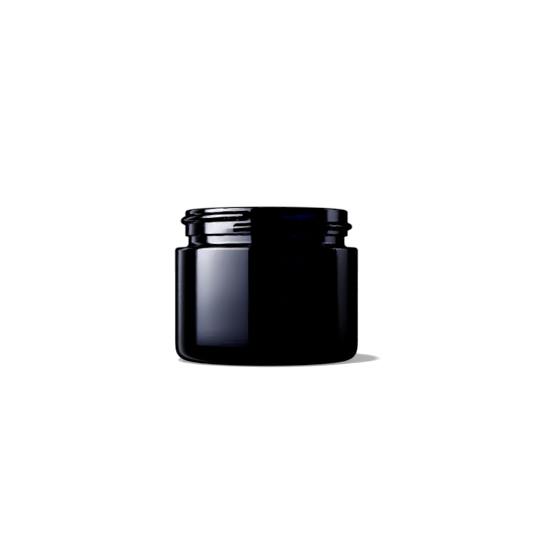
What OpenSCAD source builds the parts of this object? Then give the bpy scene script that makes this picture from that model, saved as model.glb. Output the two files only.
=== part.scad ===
// Screw-top cream jar: one moulded glass piece.
// A straight round body with a soft heel, a nearly flat shoulder, a narrow
// recess, and a wide neck that carries one turn of round thread bead.
// Origin: centre of the base, on the plane the jar stands on. +Z is up.
// Front is -Y. All sizes in millimetres.

/* [Body] */
// Outside diameter of the body
body_d = 60; // [56:0.5:66]
// Height of the shoulder's outer edge above the base
shoulder_h = 36.72; // [34:0.1:38]
// Rise of the shoulder from its outer edge to the neck
shoulder_rise = 0.22; // [0:0.02:0.5]
// Radius of the edge between body wall and shoulder
shoulder_edge_r = 1.1; // [0.4:0.1:1.4]
// Radius of the lower heel curve, where the wall turns under
heel_r = 4.06; // [3:0.1:5]
// Radius of the long upper heel curve
heel_lead_r = 20.1; // [12:0.5:26]
// Angle from vertical at which the upper heel curve meets the lower one
heel_lead_angle = 7.55; // [4:0.25:10]

/* [Neck] */
// Height of the rim above the base
total_h = 48.88; // [48:0.02:51]
// Diameter of the neck wall between the turns of the thread
neck_d = 53.34; // [52.8:0.1:54]
// Height of the neck's lower edge above the base
neck_bottom_h = 40.28; // [40:0.02:40.6]
// Radius of the neck's lower edge
neck_edge_r = 0.45; // [0.3:0.05:0.5]
// Diameter of the recess between neck and shoulder
recess_d = 51.26; // [50.8:0.1:51.6]
// Radius at the foot of the recess
recess_foot_r = 1.3; // [0.6:0.05:1.4]
// Radius of the rim's outer edge
rim_outer_r = 0.85; // [0.5:0.05:0.9]
// Radius of the rim's inner edge
rim_inner_r = 0.9; // [0.5:0.05:1.1]

/* [Thread] */
// How far the thread bead stands out of the neck
bead_h = 1.47; // [1:0.01:1.5]
// Radius of the bead's rounded crest
bead_crest_r = 1.2; // [1:0.05:1.3]
// Steepness of the bead's sides, from the neck's axis
bead_flank = 60; // [50:1:72]
// Rise of the thread in one full turn
thread_pitch = 3.69; // [3.6:0.01:4]
// Height at which the thread's even rise starts
thread_start_h = 42.33; // [42.25:0.01:42.5]
// How far below that the bead begins
start_dip = 0.12; // [0:0.01:0.2]
// How far the bead's last part runs below the even rise
end_dip = 0.11; // [0:0.01:0.2]
// Width of the bead's upper side at its start, against the full width
up_side_start = 0.92; // [0.85:0.01:1]
// The same one turn further on
up_side_turn = 1.04; // [1:0.01:1.1]
// Width of the bead's lower side at its start, against the full width
low_side_start = 0.7; // [0.65:0.01:0.9]
// The same from 140 degrees on
low_side_rest = 0.91; // [0.85:0.01:1]
// Direction of the start, from the front towards the right
thread_start_angle = -22.8; // [-30:0.1:-10]
// How far round the neck the bead runs
thread_sweep = 371.8; // [350:0.1:376]
// Length of the blunt rounded step at the bead's start
bead_start_len = 0.85; // [0.6:0.05:3]
// Length of the rounded run-out at the bead's end
bead_end_len = 2.2; // [1.4:0.1:3]

/* [Inside] */
// Diameter of the mouth
mouth_d = 46.4; // [45:0.1:47]
// Height at which the straight mouth ends and the inside widens
mouth_bottom_h = 36.6; // [36:0.1:39]
// Inside diameter where it is widest, below the shoulder
inside_d = 52.4; // [51:0.2:53]
// Height at which the inside is widest
widest_h = 31.9; // [30:0.1:32.5]
// Slope of the inside wall, narrower towards the base
inside_slope = 3.4; // [1:0.1:4]
// Height of the inside floor, which is the thickness of the base
floor_h = 9.6; // [8:0.1:10.5]
// Dip of the inside floor's centre below its edge
floor_dip = 0.8; // [0.3:0.1:1]
// Radius between the inside wall and the floor
floor_r = 12; // [9:0.5:14]

/* [Base] */
// Inner diameter of the flat ring the jar stands on
ring_d = 46.8; // [44:0.2:48]
// Height of the hollow under the base at its edge
push_up = 0.8; // [0.5:0.05:1.1]
// Further rise of the hollow from its edge to its centre
push_up_dome = 0.5; // [0.2:0.1:1]

/* [Hidden] */
$fn = 180;

body_r = body_d / 2;
neck_r = neck_d / 2;
recess_r = recess_d / 2;
mouth_r = mouth_d / 2;
inside_r = inside_d / 2;
ring_r = ring_d / 2;
glass = [0.085, 0.05, 0.15];

// Largest turn of one flat band on a curve, in degrees
arc_step = 6;
// Depth to which the bead's root is sunk in the neck wall
bead_sink = 0.6;
// Depth below the neck wall at which the bead's two tips end
bead_dip = 0.12;
// Turn of the neck between two cross-sections of the bead, in degrees
bead_step = 5;
// Steps across the crest of one cross-section
bead_n = 6;

function unit(v) = v / norm(v);

// Arc of radius r that rounds the corner b between the lines a-b and b-c
function corner(a, b, c, r) =
    r == 0 ? [b] :
    let (
        u = unit(a - b),
        v = unit(c - b),
        inner = acos(u * v),
        centre = b + unit(u + v) * r / sin(inner / 2),
        start = b + u * r / tan(inner / 2) - centre,
        a0 = atan2(start.y, start.x),
        side = sign(cross(b - a, c - b)),
        turn = 180 - inner,
        n = max(2, ceil(turn / arc_step))
    )
    [for (i = [0:n]) centre + r * [cos(a0 + side * turn * i / n),
                                   sin(a0 + side * turn * i / n)]];

// Outline through corners [r, z, radius], each one rounded
function rounded(k) = [
    for (i = [0:len(k) - 1])
        each (i == 0 || i == len(k) - 1)
            ? [[k[i].x, k[i].y]]
            : corner([k[i - 1].x, k[i - 1].y], [k[i].x, k[i].y],
                     [k[i + 1].x, k[i + 1].y], k[i][2])
];

// Heel: where the straight lines behind its two curves meet
lead_t = heel_lead_r * tan(heel_lead_angle / 2);
heel_t = heel_r * tan((90 - heel_lead_angle) / 2);
heel_top_z = (lead_t + heel_t) * cos(heel_lead_angle);
heel_foot_r = body_r - (lead_t + heel_t) * sin(heel_lead_angle);

// Flat round dome of rise h over radius r, from its centre outwards
dome_n = 12;
function dome(r, z_centre, h) =
    let (big = (r * r + h * h) / (2 * h))
    [for (i = [0:dome_n])
        let (x = r * i / dome_n) [x, z_centre - big + sqrt(big * big - x * x)]];

under = dome(ring_r - 2.6, push_up + push_up_dome, push_up_dome);
floor_edge_r = inside_r - (widest_h - floor_h) * tan(inside_slope);
dip = dome(floor_edge_r - floor_r, -floor_h + floor_dip, floor_dip);

// Outside of the jar, from the middle of the base up to the rim,
// then the inside from the rim down to the middle of the floor
outline = rounded(concat(
    [for (i = [0:dome_n - 1]) [under[i].x, under[i].y, 0]],
    [
        [ring_r - 2.6, push_up, 1.2],
        [ring_r, 0, 1.2],
        [heel_foot_r, 0, heel_r],
        [body_r, heel_top_z, heel_lead_r],
        [body_r, shoulder_h, shoulder_edge_r],
        [recess_r, shoulder_h + shoulder_rise, recess_foot_r],
        [recess_r, neck_bottom_h, 0.35],
        [neck_r, neck_bottom_h + 0.04, neck_edge_r],
        [neck_r, total_h, rim_outer_r],
        [mouth_r, total_h, rim_inner_r],
        [mouth_r, mouth_bottom_h, 2],
        [inside_r, widest_h, 0.8],
        [floor_edge_r, floor_h, floor_r]
    ],
    [for (i = [dome_n - 1:-1:0]) [dip[i].x, -dip[i].y, 0]]
));

// Height of the bead along its length: full, with a blunt rounded start and a
// longer rounded end
bead_turns = floor(thread_sweep / bead_step);
start_a = bead_start_len / neck_r * 180 / PI;
end_a = bead_end_len / neck_r * 180 / PI;
bead_angles = concat(
    [for (i = [0:5]) start_a * i / 6],
    [for (i = [0:bead_turns]) start_a + (thread_sweep - start_a - end_a) * i / bead_turns],
    [for (i = [5:-1:0]) thread_sweep - end_a * i / 6]
);
function run_out(a) =
    let (e = min(a / start_a, (thread_sweep - a) / end_a))
    e >= 1 ? 1 : sqrt(1 - (1 - e) * (1 - e));

// Height of the bead's centre line: an even rise that begins a little low and
// runs a little low again over its last part
dip_in = 14;
dip_out_from = 290;
dip_out_over = 45;
function thread_h(a) =
    thread_start_h + thread_pitch * a / 360
    - start_dip * pow(max(0, 1 - a / dip_in), 2)
    - end_dip * min(1, max(0, (a - dip_out_from) / dip_out_over));

// Widths of the bead's two sides, which both grow along the turn
low_over = 140;
function up_width(a) = up_side_start + (up_side_turn - up_side_start) * a / 360;
function low_width(a) =
    low_side_start + (low_side_rest - low_side_start) * min(1, a / low_over);

// One cross-section of the bead: a round crest and two straight sides that
// run on into the neck wall
function bead_section(a) =
    let (
        s = max(run_out(a), 0.02),
        flank_h = bead_h - bead_crest_r * (1 - cos(bead_flank)),
        foot = bead_crest_r * sin(bead_flank) + (flank_h + bead_sink) / tan(bead_flank),
        up = (0.35 + 0.65 * s) * up_width(a),
        low = (0.35 + 0.65 * s) * low_width(a),
        z = thread_h(a),
        t = thread_start_angle + a,
        local = concat(
            [[-bead_sink, -foot * low]],
            [for (i = [0:bead_n]) let (q = bead_flank * (2 * i / bead_n - 1))
                [s * (bead_h + bead_dip - bead_crest_r * (1 - cos(q))) - bead_dip,
                 (q < 0 ? low : up) * bead_crest_r * sin(q)]],
            [[-bead_sink, foot * up]]
        )
    )
    [for (p = local) [(neck_r + p.x) * sin(t), -(neck_r + p.x) * cos(t), z + p.y]];

module thread_bead() {
    m = bead_n + 3;
    n = len(bead_angles);
    points = [for (a = bead_angles) each bead_section(a)];
    sides = [
        for (i = [0:n - 2]) for (j = [0:m - 1])
            let (a = i * m + j, b = i * m + (j + 1) % m, c = a + m, d = b + m)
            each [[a, b, d], [a, d, c]]
    ];
    ends = [
        [for (j = [m - 1:-1:0]) j],
        [for (j = [0:m - 1]) (n - 1) * m + j]
    ];
    polyhedron(points, concat(sides, ends), convexity = 6);
}

module glass_jar() {
    color(glass) {
        rotate_extrude() polygon(outline);
        thread_bead();
    }
}

glass_jar();
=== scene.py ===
"""Looks of the cream jar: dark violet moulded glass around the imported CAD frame.

Lengths are worked out in millimetres here and go into the meshes in metres.
The frame has +Z up, the front at -Y, and the origin at the centre of the base.
"""
import math

import bpy
import numpy as np
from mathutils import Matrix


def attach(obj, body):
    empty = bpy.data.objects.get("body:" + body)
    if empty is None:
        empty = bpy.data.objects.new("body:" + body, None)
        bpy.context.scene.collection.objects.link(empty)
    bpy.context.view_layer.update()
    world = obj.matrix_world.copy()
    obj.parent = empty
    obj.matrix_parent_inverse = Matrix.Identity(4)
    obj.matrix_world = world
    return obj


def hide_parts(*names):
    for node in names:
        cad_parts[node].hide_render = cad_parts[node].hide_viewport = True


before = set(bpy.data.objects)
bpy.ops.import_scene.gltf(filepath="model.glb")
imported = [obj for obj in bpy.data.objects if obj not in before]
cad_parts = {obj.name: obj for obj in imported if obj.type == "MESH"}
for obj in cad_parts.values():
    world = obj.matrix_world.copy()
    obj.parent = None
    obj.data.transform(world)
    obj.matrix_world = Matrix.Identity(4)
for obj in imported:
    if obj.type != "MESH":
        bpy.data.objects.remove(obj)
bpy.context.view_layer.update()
scene = bpy.context.scene


# ---------------------------------------------------------------- sizes, in mm
BODY_R = 30.0
SHOULDER_H, SHOULDER_RISE, SHOULDER_EDGE_R = 36.72, 0.22, 1.1
HEEL_R, HEEL_LEAD_R, HEEL_LEAD_A = 4.06, 20.1, math.radians(7.55)
TOTAL_H, NECK_R, NECK_BOTTOM, NECK_EDGE_R = 48.88, 26.67, 40.28, 0.45
RECESS_R, RECESS_FOOT_R = 25.63, 1.3
RIM_OUT_R, RIM_IN_R = 0.85, 0.9
BEAD_H, BEAD_CREST_R, BEAD_FLANK = 1.47, 1.2, math.radians(60)
BEAD_ROOT_R = 0.35
SWELL_H, SWELL_W = 0.028, 1.1        # low swelling of the neck wall under the bead
PITCH, START_H, START_A, SWEEP = 3.69, 42.33, -22.8, 371.8
START_LEN, END_LEN = 0.85, 2.2
START_DIP, END_DIP = 0.12, 0.11
UP_SIDE = 0.92, 1.04                 # width of the bead's upper side at its start and one turn on
LOW_SIDE = 0.7, 0.91                 # the same for its lower side, at its start and 140 degrees on
MOUTH_R, MOUTH_BOTTOM = 23.2, 36.6
INSIDE_R, SHOULDER_IN = 26.2, 31.9
FLOOR_H, FLOOR_DIP, FLOOR_R, WALL_A = 9.6, 0.8, 12.0, math.radians(3.4)
RING_R, PUSH_UP, DOME = 23.4, 0.8, 0.5


# ------------------------------------------------------------------ the outline
def unit(v):
    return v / np.hypot(*v)


def corner(a, b, c, r, step):
    """Points and outward normals of the arc that rounds the corner b."""
    a, b, c = (np.array(p, float) for p in (a, b, c))
    u, v = unit(a - b), unit(c - b)
    inner = math.acos(max(-1.0, min(1.0, float(u @ v))))
    centre = b + unit(u + v) * r / math.sin(inner / 2)
    start = b + u * r / math.tan(inner / 2) - centre
    a0 = math.atan2(start[1], start[0])
    bm, mc = b - a, c - b
    side = math.copysign(1.0, bm[0] * mc[1] - bm[1] * mc[0])
    turn = math.pi - inner
    n = max(3, math.ceil(math.degrees(turn) / step))
    out = []
    for i in range(n + 1):
        q = a0 + side * turn * i / n
        e = np.array([math.cos(q), math.sin(q)])
        out.append((centre + r * e, e * side))   # a convex corner turns left, so its normal points away from its centre
    return out


def dome(r, z_centre, h, n=10):
    """A flat round dome of rise h over radius r, from its middle outwards."""
    big = (r * r + h * h) / (2 * h)
    out = []
    for i in range(n + 1):
        x = r * i / n
        out.append((x, z_centre - big + math.sqrt(big * big - x * x), x / big))
    return out


lead_t = HEEL_LEAD_R * math.tan(HEEL_LEAD_A / 2)
heel_t = HEEL_R * math.tan((math.pi / 2 - HEEL_LEAD_A) / 2)
heel_top = (lead_t + heel_t) * math.cos(HEEL_LEAD_A)
heel_foot = BODY_R - (lead_t + heel_t) * math.sin(HEEL_LEAD_A)
floor_edge = INSIDE_R - (SHOULDER_IN - FLOOR_H) * math.tan(WALL_A)

CORNERS = [
    (RING_R - 2.6, PUSH_UP, 1.2, 6),
    (RING_R, 0.0, 1.2, 6),
    (heel_foot, 0.0, HEEL_R, 3),
    (BODY_R, heel_top, HEEL_LEAD_R, 1),
    (BODY_R, SHOULDER_H, SHOULDER_EDGE_R, 5),
    (RECESS_R, SHOULDER_H + SHOULDER_RISE, RECESS_FOOT_R, 6),
    (RECESS_R, NECK_BOTTOM, 0.35, 9),
    (NECK_R, NECK_BOTTOM + 0.04, NECK_EDGE_R, 7),
    (NECK_R, TOTAL_H, RIM_OUT_R, 5),
    (MOUTH_R, TOTAL_H, RIM_IN_R, 5),
    (MOUTH_R, MOUTH_BOTTOM, 2.0, 3),
    (INSIDE_R, SHOULDER_IN, 0.8, 4),
    (floor_edge, FLOOR_H, FLOOR_R, 5),
]


def outline():
    """(r, z, nr, nz) rows from the middle of the base, up the outside, over
    the rim, and down the inside to the middle of the floor."""
    rows = []
    for x, z, s in dome(RING_R - 2.6, PUSH_UP + DOME, DOME)[:-2]:
        rows.append((x, z, -s, -math.sqrt(1 - s * s)))
    base_in = (rows[-1][0], rows[-1][1])
    floor_dome = dome(floor_edge - FLOOR_R, 0.0, FLOOR_DIP)
    chain = [base_in] + [c[:2] for c in CORNERS] + [
        (floor_dome[-2][0], FLOOR_H - FLOOR_DIP - floor_dome[-2][1])]
    ends = []
    for k, (x, z, r, step) in enumerate(CORNERS):
        first = len(rows)
        for p, e in corner(chain[k], (x, z), chain[k + 2], r, step):
            # where one arc runs straight into the next, they share a row
            if math.hypot(p[0] - rows[-1][0], p[1] - rows[-1][1]) > 1e-4:
                rows.append((p[0], p[1], e[0], e[1]))
        ends.append((first, len(rows) - 1))
    for x, z, s in reversed(floor_dome[:-1]):
        rows.append((x, FLOOR_H - FLOOR_DIP - z, -s, math.sqrt(1 - s * s)))
    return np.array(rows), ends


# -------------------------------------------------------------- the thread bead
H1 = BEAD_H - BEAD_CREST_R * (1 - math.cos(BEAD_FLANK))
D1 = BEAD_CREST_R * math.sin(BEAD_FLANK)
D0 = D1 + H1 / math.tan(BEAD_FLANK)
ROOT_T = BEAD_ROOT_R * math.tan(BEAD_FLANK / 2)


def bead_profile(d):
    """Height of the full bead at distance d from its centre line: a round
    crest, straight sides and small round roots."""
    d = np.abs(d)
    crest = BEAD_H - BEAD_CREST_R + np.sqrt(np.clip(BEAD_CREST_R ** 2 - d * d, 0, None))
    flank = H1 - (d - D1) * math.tan(BEAD_FLANK)
    x = np.clip(D0 + ROOT_T - d, 0, BEAD_ROOT_R)
    root = BEAD_ROOT_R - np.sqrt(BEAD_ROOT_R ** 2 - x * x)
    h = np.where(d < D1, crest, flank)
    h = np.where(d > D0 - ROOT_T * math.cos(BEAD_FLANK), root, h)
    return np.where(d > D0 + ROOT_T, 0.0, h)


def bead(t, z):
    """Height of the bead over the neck at azimuth t (degrees from the front
    towards +X) and height z."""
    start_a, end_a = math.degrees(START_LEN / NECK_R), math.degrees(END_LEN / NECK_R)
    best = np.zeros(np.broadcast(t, z).shape)
    for turn in (0, 1):
        a = (t - START_A) % 360 + 360 * turn
        e = np.clip(np.minimum(a / start_a, (SWEEP - a) / end_a), 0, 1)
        s = np.sqrt(np.clip(1 - (1 - e) ** 2, 0, 1))
        wide = 0.35 + 0.65 * s
        line = (START_H + PITCH * a / 360 - START_DIP * np.clip(1 - a / 14, 0, 1) ** 2
                - END_DIP * np.clip((a - 290) / 45, 0, 1))
        up = UP_SIDE[0] + (UP_SIDE[1] - UP_SIDE[0]) * a / 360
        low = LOW_SIDE[0] + (LOW_SIDE[1] - LOW_SIDE[0]) * np.minimum(a / 140, 1)
        side = np.where(z < line, low, up)
        h = s * bead_profile((z - line) / (wide * side))
        best = np.maximum(best, np.where((a >= 0) & (a <= SWEEP), h, 0.0))
    # the wall swells a little ahead of the bead's start and under it
    a = (t - START_A + 180) % 360 - 180
    on = np.clip((a + 9.0) / 8.0, 0, 1) * np.clip((60.0 - a) / 40.0, 0, 1)
    swell = SWELL_H * on * on * (3 - 2 * on) * np.exp(-((z - START_H) / SWELL_W) ** 2)
    edge = np.clip((z - NECK_BOTTOM - 0.3) / 0.3, 0, 1)
    return best + swell * edge


# ---------------------------------------------------------------- the jar's mesh
def columns():
    """Azimuths of the mesh's columns, closer together where the thread starts."""
    fine0, fine1 = -23.8, -19.6
    n_fine = 34
    n_rest = 264
    fine = np.linspace(fine0, fine1, n_fine, endpoint=False)
    rest = np.linspace(fine1, fine0 + 360, n_rest, endpoint=False)
    return np.concatenate([fine, rest])


def jar_mesh():
    rows, ends = outline()
    # more rows over the neck, where the bead is
    low, high = ends[7][1], ends[8][0]
    z0, z1 = rows[low, 1], rows[high, 1]
    n_land = 130
    land = np.array([(NECK_R, z0 + (z1 - z0) * i / n_land, 1.0, 0.0) for i in range(1, n_land)])
    rows = np.vstack([rows[:low + 1], land, rows[high:]])
    is_neck = np.zeros(len(rows), bool)
    is_neck[low - 6:low + n_land + 4] = True

    az = columns()
    t = np.radians(az)
    ring = rows[1:-1]                     # the first and last rows are points on the axis
    R, Z = ring[:, 0][:, None], ring[:, 1][:, None]
    T = t[None, :]
    neck = is_neck[1:-1][:, None]

    def lift(a_deg, z):
        return np.where(neck, bead(a_deg, z), 0.0)

    H = lift(az[None, :], Z)
    X = (R + H) * np.sin(T)
    Y = -(R + H) * np.cos(T)
    P = np.stack([X, Y, np.broadcast_to(Z, X.shape)], -1)

    nr, nz = ring[:, 2][:, None], ring[:, 3][:, None]
    N = np.stack([nr * np.sin(T), -nr * np.cos(T), np.broadcast_to(nz, X.shape)], -1)
    # the bead tilts the neck's normal by its two slopes
    da, dz = 0.02, 0.004
    ht = (lift(az[None, :] + da, Z) - lift(az[None, :] - da, Z)) / math.radians(2 * da)
    hz = (lift(az[None, :], Z + dz) - lift(az[None, :], Z - dz)) / (2 * dz)
    radial = np.stack([np.sin(T) + 0 * X, -np.cos(T) + 0 * X, 0 * X], -1)
    along = np.stack([np.cos(T) + 0 * X, np.sin(T) + 0 * X, 0 * X], -1)
    up = np.array([0.0, 0.0, 1.0])
    N = N - along * (ht / (R + H))[..., None] - up * (hz * np.clip(nr, 0, 1))[..., None]
    N /= np.linalg.norm(N, axis=-1, keepdims=True)

    n, m = X.shape
    verts = np.vstack([P.reshape(-1, 3), [[0, 0, rows[0, 1]], [0, 0, rows[-1, 1]]]])
    normals = np.vstack([N.reshape(-1, 3), [[0, 0, -1.0], [0, 0, 1.0]]])
    i, j = np.meshgrid(np.arange(n - 1), np.arange(m), indexing="ij")
    k = (j + 1) % m
    quads = np.stack([i * m + j, i * m + k, (i + 1) * m + k, (i + 1) * m + j], -1).reshape(-1, 4)
    faces = quads.tolist()
    for j in range(m):
        k = (j + 1) % m
        faces.append((n * m, k, j))
        faces.append((n * m + 1, (n - 1) * m + j, (n - 1) * m + k))

    mesh = bpy.data.meshes.new("glass_jar_visual")
    mesh.from_pydata((verts / 1000).tolist(), [], faces)
    mesh.polygons.foreach_set("use_smooth", [True] * len(mesh.polygons))
    mesh.update()
    mesh.normals_split_custom_set_from_vertices(normals.tolist())
    print("jar mesh: rows", n, "columns", m, "triangles", 2 * len(quads) + 2 * m)
    return mesh


# ------------------------------------------------------------------- node helper
class Graph:
    """A few short calls that keep the node trees below readable."""

    def __init__(self, tree):
        self.tree, self.n = tree, 0
        tree.nodes.clear()

    def new(self, kind, **settings):
        node = self.tree.nodes.new(kind)
        node.location = (220 * (self.n % 12), -260 * (self.n // 12))
        self.n += 1
        for key, value in settings.items():
            setattr(node, key, value)
        return node

    def put(self, socket, value):
        if isinstance(value, bpy.types.NodeSocket):
            self.tree.links.new(value, socket)
        elif value is not None:
            socket.default_value = value

    def math(self, op, a, b=None, c=None, clamp=False):
        node = self.new("ShaderNodeMath", operation=op, use_clamp=clamp)
        for socket, value in zip(node.inputs, (a, b, c)):
            self.put(socket, value)
        return node.outputs[0]

    def smooth(self, x, a, b):
        """0 below a, 1 above b, smooth between; also falls if a > b."""
        node = self.new("ShaderNodeMapRange", interpolation_type="SMOOTHSTEP")
        lo, hi, flip = (a, b, False) if a < b else (b, a, True)
        self.put(node.inputs["Value"], x)
        node.inputs["From Min"].default_value = lo
        node.inputs["From Max"].default_value = hi
        node.inputs["To Min"].default_value = 1.0 if flip else 0.0
        node.inputs["To Max"].default_value = 0.0 if flip else 1.0
        return node.outputs["Result"]

    def curve(self, x, points):
        """Smooth curve of x through the points, level beyond both ends."""
        lo, hi = points[0][0], points[-1][0]
        top = max(v for _, v in points)
        node = self.new("ShaderNodeFloatCurve")
        self.put(node.inputs["Value"], self.math("DIVIDE", self.math("SUBTRACT", x, lo), hi - lo, clamp=True))
        line = node.mapping.curves[0]
        line.points[0].location = (0.0, points[0][1] / top)
        line.points[-1].location = (1.0, points[-1][1] / top)
        for u, v in points[1:-1]:
            line.points.new((u - lo) / (hi - lo), v / top)
        for p in line.points:
            p.handle_type = "AUTO_CLAMPED"
        node.mapping.update()
        return self.math("MULTIPLY", node.outputs[0], top)

    def times(self, *xs):
        out = xs[0]
        for x in xs[1:]:
            out = self.math("MULTIPLY", out, x)
        return out

    def add(self, *xs):
        out = xs[0]
        for x in xs[1:]:
            out = self.math("ADD", out, x)
        return out


# --------------------------------------------------------------- violet glass
def violet_glass():
    """Very dark violet glass. The colour is in the depth of the glass; the
    polished surface has fine mould lines and a faint waviness."""
    mat = bpy.data.materials.new("violet_glass")
    mat.use_nodes = True
    g = Graph(mat.node_tree)
    out = g.new("ShaderNodeOutputMaterial")
    glass = g.new("ShaderNodeBsdfPrincipled")
    glass.inputs["IOR"].default_value = 1.52
    glass.inputs["Transmission Weight"].default_value = 1.0
    depth = g.new("ShaderNodeVolumeAbsorption")
    depth.inputs["Color"].default_value = (0.267, 0.0, 0.74, 1.0)
    depth.inputs["Density"].default_value = 3000.0
    g.tree.links.new(glass.outputs["BSDF"], out.inputs["Surface"])
    g.tree.links.new(depth.outputs["Volume"], out.inputs["Volume"])

    where = g.new("ShaderNodeTexCoord").outputs["Object"]
    xyz = g.new("ShaderNodeSeparateXYZ")
    g.put(xyz.inputs[0], where)
    x, y, z = xyz.outputs
    turn = g.math("ARCTAN2", x, y)                 # round the axis

    # fine level lines left by the turned mould, broken up round the body
    ring = g.new("ShaderNodeCombineXYZ")
    g.put(ring.inputs[0], g.math("MULTIPLY", g.math("SINE", turn), 1.1))
    g.put(ring.inputs[1], g.math("MULTIPLY", g.math("COSINE", turn), 1.1))
    g.put(ring.inputs[2], g.math("MULTIPLY", z, 1500.0))
    lines = g.new("ShaderNodeTexNoise", noise_dimensions="3D")
    g.put(lines.inputs["Vector"], ring.outputs[0])
    lines.inputs["Scale"].default_value = 1.0
    lines.inputs["Detail"].default_value = 3.0
    lines.inputs["Roughness"].default_value = 0.6

    # slow waviness of the moulded skin
    wave = g.new("ShaderNodeTexNoise", noise_dimensions="3D")
    g.put(wave.inputs["Vector"], where)
    wave.inputs["Scale"].default_value = 170.0
    wave.inputs["Detail"].default_value = 1.0

    bump_lines = g.new("ShaderNodeBump")
    bump_lines.inputs["Strength"].default_value = 1.0
    bump_lines.inputs["Distance"].default_value = 2.0e-6
    # they are plainer on the body than on the neck
    g.put(bump_lines.inputs["Height"],
          g.math("MULTIPLY", lines.outputs["Fac"],
                 g.math("ADD", 0.25, g.math("MULTIPLY", g.smooth(z, 0.0385, 0.0375), 0.75))))
    bump_wave = g.new("ShaderNodeBump")
    bump_wave.inputs["Strength"].default_value = 1.0
    bump_wave.inputs["Distance"].default_value = 6.0e-7
    g.put(bump_wave.inputs["Height"], wave.outputs["Fac"])
    g.put(bump_wave.inputs["Normal"], bump_lines.outputs["Normal"])
    g.put(glass.inputs["Normal"], bump_wave.outputs["Normal"])

    # striae in the melt: slightly lighter and darker veins
    veins = g.new("ShaderNodeTexNoise", noise_dimensions="3D")
    stretch = g.new("ShaderNodeCombineXYZ")
    g.put(stretch.inputs[0], g.math("MULTIPLY", x, 60.0))
    g.put(stretch.inputs[1], g.math("MULTIPLY", y, 60.0))
    g.put(stretch.inputs[2], g.math("MULTIPLY", z, 22.0))
    g.put(veins.inputs["Vector"], stretch.outputs[0])
    veins.inputs["Scale"].default_value = 1.0
    veins.inputs["Detail"].default_value = 4.0
    veins.inputs["Distortion"].default_value = 1.2
    tint = g.new("ShaderNodeValToRGB")
    tint.color_ramp.elements[0].position = 0.3
    tint.color_ramp.elements[0].color = (0.70, 0.62, 0.92, 1)
    tint.color_ramp.elements[1].position = 0.7
    tint.color_ramp.elements[1].color = (0.86, 0.78, 1.0, 1)
    g.put(tint.inputs[0], veins.outputs["Fac"])
    g.put(glass.inputs["Base Color"], tint.outputs[0])

    glass.inputs["Roughness"].default_value = 0.0      # fire-polished
    return mat


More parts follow.
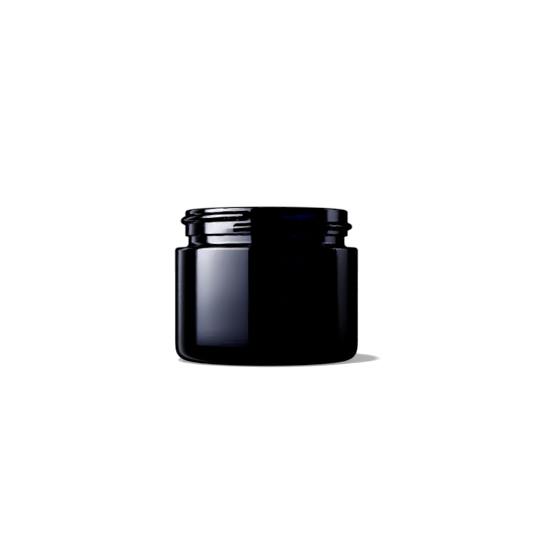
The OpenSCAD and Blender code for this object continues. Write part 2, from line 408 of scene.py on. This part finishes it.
# ------------------------------------------------------------------ the studio
def studio():
    """The light boxes as a world: a large one at front left and two narrow ones
    behind, over a black surround. The floor gets an even light and the camera
    sees white."""
    world = bpy.data.worlds.new("studio")
    scene.world = world
    world.use_nodes = True
    world.cycles.sampling_method = "NONE"
    g = Graph(world.node_tree)
    out = g.new("ShaderNodeOutputWorld")
    d = g.new("ShaderNodeSeparateXYZ")
    g.put(d.inputs[0], g.new("ShaderNodeTexCoord").outputs["Generated"])
    x, y, z = d.outputs
    deg = 180 / math.pi
    az = g.math("MULTIPLY", g.math("ARCTAN2", x, g.math("MULTIPLY", y, -1.0)), deg)
    el = g.math("MULTIPLY", g.math("ARCSINE", z), deg)

    # large box at front left: its brightness along azimuth where it is high,
    # how far it falls off towards the horizon, and its soft lower end
    nudge = g.times(g.smooth(el, 0.6, 1.6), g.smooth(az, -88.0, -93.0), 0.9)
    across = g.curve(g.math("SUBTRACT", az, nudge), [(-99, 0), (-98, 0.25), (-96, 2.2), (-94, 8.2), (-93, 12.2), (-91, 13.5),
                          (-88, 14.6), (-82, 17.0), (-76, 18.9), (-70, 19.7), (-66, 19.6),
                          (-60, 18.7), (-54, 16.6), (-48, 14.4), (-42, 12.2), (-36, 10.1),
                          (-30, 8.0), (-25, 5.7), (-22, 4.6)])
    low_part = g.curve(az, [(-93, 0.82), (-88, 0.81), (-82, 0.75), (-76, 0.66), (-70, 0.57),
                            (-64, 0.49), (-58, 0.43), (-53, 0.385), (-47, 0.355), (-42, 0.325),
                            (-37, 0.30), (-30, 0.28), (-22, 0.26)])
    shift = g.math("MULTIPLY", g.smooth(az, -60.0, -84.0), 0.35)
    down = g.curve(g.math("ADD", el, shift),
                   [(-4.2, 0.15), (-3.5, 0.16), (-3.04, 0.172), (-2.54, 0.212), (-2.29, 0.236),
                    (-2.04, 0.265), (-1.79, 0.31), (-1.54, 0.37), (-1.3, 0.45), (-1.05, 0.52),
                    (-0.8, 0.585), (-0.55, 0.65), (-0.3, 0.70), (-0.05, 0.75), (0.2, 0.82),
                    (0.7, 1.0), (1.1, 1.12)])
    cut = g.curve(el, [(-4.15, 0.0), (-4.0, 0.03), (-3.78, 0.17), (-3.53, 0.5), (-3.28, 0.78),
                       (-3.0, 1.0), (-2.8, 1.0)])
    climb = g.curve(el, [(0.5, 0.0), (0.9, 0.05), (1.35, 0.3), (2.0, 0.68), (3.0, 1.0)])
    low = g.times(low_part, down, cut)
    body = g.math("MULTIPLY_ADD", g.math("SUBTRACT", 1.0, low), climb, low)
    key = g.times(across, body, g.smooth(az, -21.9, -22.9), g.smooth(el, 46.0, 34.0))

    # narrow strip at back left: sharp outer edge, long tail inwards, leaning over
    lean = g.curve(el, [(-4.0, 8.2), (-1.2, 8.1), (-0.2, 8.4), (0.7, 9.0), (1.8, 12.0),
                        (2.6, 15.5), (6.0, 18.0)])
    strip_l = g.times(
        g.curve(g.math("SUBTRACT", az, g.math("SUBTRACT", lean, 9.0)),
                [(-149, 0), (-147, 0.01), (-143, 0.26), (-141, 0.9), (-139, 1.37), (-137, 1.37),
                 (-135, 1.17), (-132, 0.67), (-129, 0.31), (-126, 0.14), (-123, 0.05), (-118, 0)]),
        g.curve(el, [(-60, 0), (-45, 0.06), (-30, 0.2), (-16, 0.33), (-6.0, 0.37),
                     (-3.7, 0.38), (-3.2, 0.46), (-2.2, 0.59), (-1.2, 0.74),
                     (-0.2, 0.85), (0.7, 1.0), (1.8, 1.12), (2.6, 1.0), (5.0, 1.1)]),
        g.smooth(el, 34.0, 22.0))

    # narrow strip at back right, much dimmer lower down
    edge = g.curve(el, [(-3.0, 101.0), (-2.2, 100.0), (-1.2, 98.7), (-0.2, 98.5), (0.7, 97.5),
                        (1.3, 95.0), (2.6, 95.0)])
    strip_r = g.times(
        g.smooth(g.math("SUBTRACT", az, edge), -2.6, 3.2),
        g.curve(az, [(99, 1.0), (104, 0.92), (108, 0.74), (112, 0.52), (115, 0.38), (118, 0.2),
                     (121, 0.05), (123, 0.0)]),
        g.curve(el, [(-3.7, 0), (-3.2, 0.03), (-2.2, 0.10), (-1.2, 0.15), (-0.2, 0.26),
                     (0.7, 0.54), (1.3, 0.84), (2.6, 1.42), (5.0, 1.6)]),
        g.smooth(el, 34.0, 22.0))

    # the dim parts of the large box are bluer than its bright part
    dim = g.math("MULTIPLY", key, 0.0426)
    rgb = g.new("ShaderNodeCombineXYZ")
    g.put(rgb.inputs[0], g.add(key, strip_l, strip_r))
    g.put(rgb.inputs[1], g.add(g.math("DIVIDE", g.math("POWER", dim, 0.96), 0.0426),
                               g.math("MULTIPLY", strip_l, 1.06), g.math("MULTIPLY", strip_r, 1.07)))
    g.put(rgb.inputs[2], g.add(g.math("DIVIDE", g.math("POWER", dim, 0.79), 0.0426),
                               g.math("MULTIPLY", strip_l, 1.45), g.math("MULTIPLY", strip_r, 1.63)))
    seen = g.new("ShaderNodeBackground")
    g.put(seen.inputs["Color"], rgb.outputs[0])

    white = g.new("ShaderNodeBackground")
    white.inputs["Color"].default_value = (1, 1, 1, 1)
    white.inputs["Strength"].default_value = 1.0
    even = g.new("ShaderNodeBackground")
    even.inputs["Color"].default_value = (1, 1, 1, 1)
    even.inputs["Strength"].default_value = 0.15

    ray = g.new("ShaderNodeLightPath")
    a = g.new("ShaderNodeMixShader")
    g.put(a.inputs[0], ray.outputs["Is Diffuse Ray"])
    g.put(a.inputs[1], seen.outputs[0])
    g.put(a.inputs[2], even.outputs[0])
    b = g.new("ShaderNodeMixShader")
    g.put(b.inputs[0], ray.outputs["Is Camera Ray"])
    g.put(b.inputs[1], a.outputs[0])
    g.put(b.inputs[2], white.outputs[0])
    g.put(out.inputs["Surface"], b.outputs[0])


def sun():
    """Small high light at front left, which throws the short soft shadow."""
    lamp = bpy.data.lights.new("key_light", "SUN")
    lamp.energy = 2.6
    lamp.angle = math.radians(4.6)
    obj = bpy.data.objects.new("key_light", lamp)
    el, az = math.radians(73.1), math.radians(46.0)
    to_light = np.array([-math.cos(az) * math.cos(el), -math.sin(az) * math.cos(el), math.sin(el)])
    from mathutils import Vector
    obj.rotation_mode = "QUATERNION"
    obj.rotation_quaternion = Vector(to_light).to_track_quat("Z", "Y")
    obj.location = Vector(to_light)
    scene.collection.objects.link(obj)
    obj.visible_glossy = False
    obj.visible_transmission = False


def floor():
    half = 6.0
    mesh = bpy.data.meshes.new("floor")
    z = -2e-5
    mesh.from_pydata([(-half, -half, z), (half, -half, z), (half, half, z), (-half, half, z)],
                     [], [(0, 1, 2, 3)])
    obj = bpy.data.objects.new("floor", mesh)
    scene.collection.objects.link(obj)
    mat = bpy.data.materials.new("floor_white")
    mat.use_nodes = True
    g = Graph(mat.node_tree)
    out = g.new("ShaderNodeOutputMaterial")
    paint = g.new("ShaderNodeBsdfDiffuse")
    paint.inputs["Color"].default_value = (0.82, 0.82, 0.82, 1)
    own = g.new("ShaderNodeEmission")
    own.inputs["Strength"].default_value = 0.36
    both = g.new("ShaderNodeAddShader")
    g.put(both.inputs[0], paint.outputs[0])
    g.put(both.inputs[1], own.outputs[0])
    g.put(out.inputs["Surface"], both.outputs[0])
    mesh.materials.append(mat)
    obj.visible_glossy = False
    obj.visible_transmission = False


def camera():
    cam = bpy.data.cameras.new("camera")
    cam.sensor_width = 36.0
    cam.lens = 77.66
    cam.clip_start, cam.clip_end = 0.01, 60.0
    obj = bpy.data.objects.new("camera", cam)
    obj.location = (0.0, -0.37767, 0.030504)
    obj.rotation_euler = (math.pi / 2, 0.0, 0.0)
    scene.collection.objects.link(obj)
    scene.camera = obj


# --------------------------------------------------------------------- put it up
camera()
jar = bpy.data.objects.new("glass_jar_looks", jar_mesh())
scene.collection.objects.link(jar)
jar.data.materials.append(violet_glass())
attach(jar, "root")
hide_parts("glass_jar")
studio()
sun()
floor()
scene.view_settings.view_transform = "Standard"
scene.view_settings.look = "None"

bpy.context.view_layer.update()
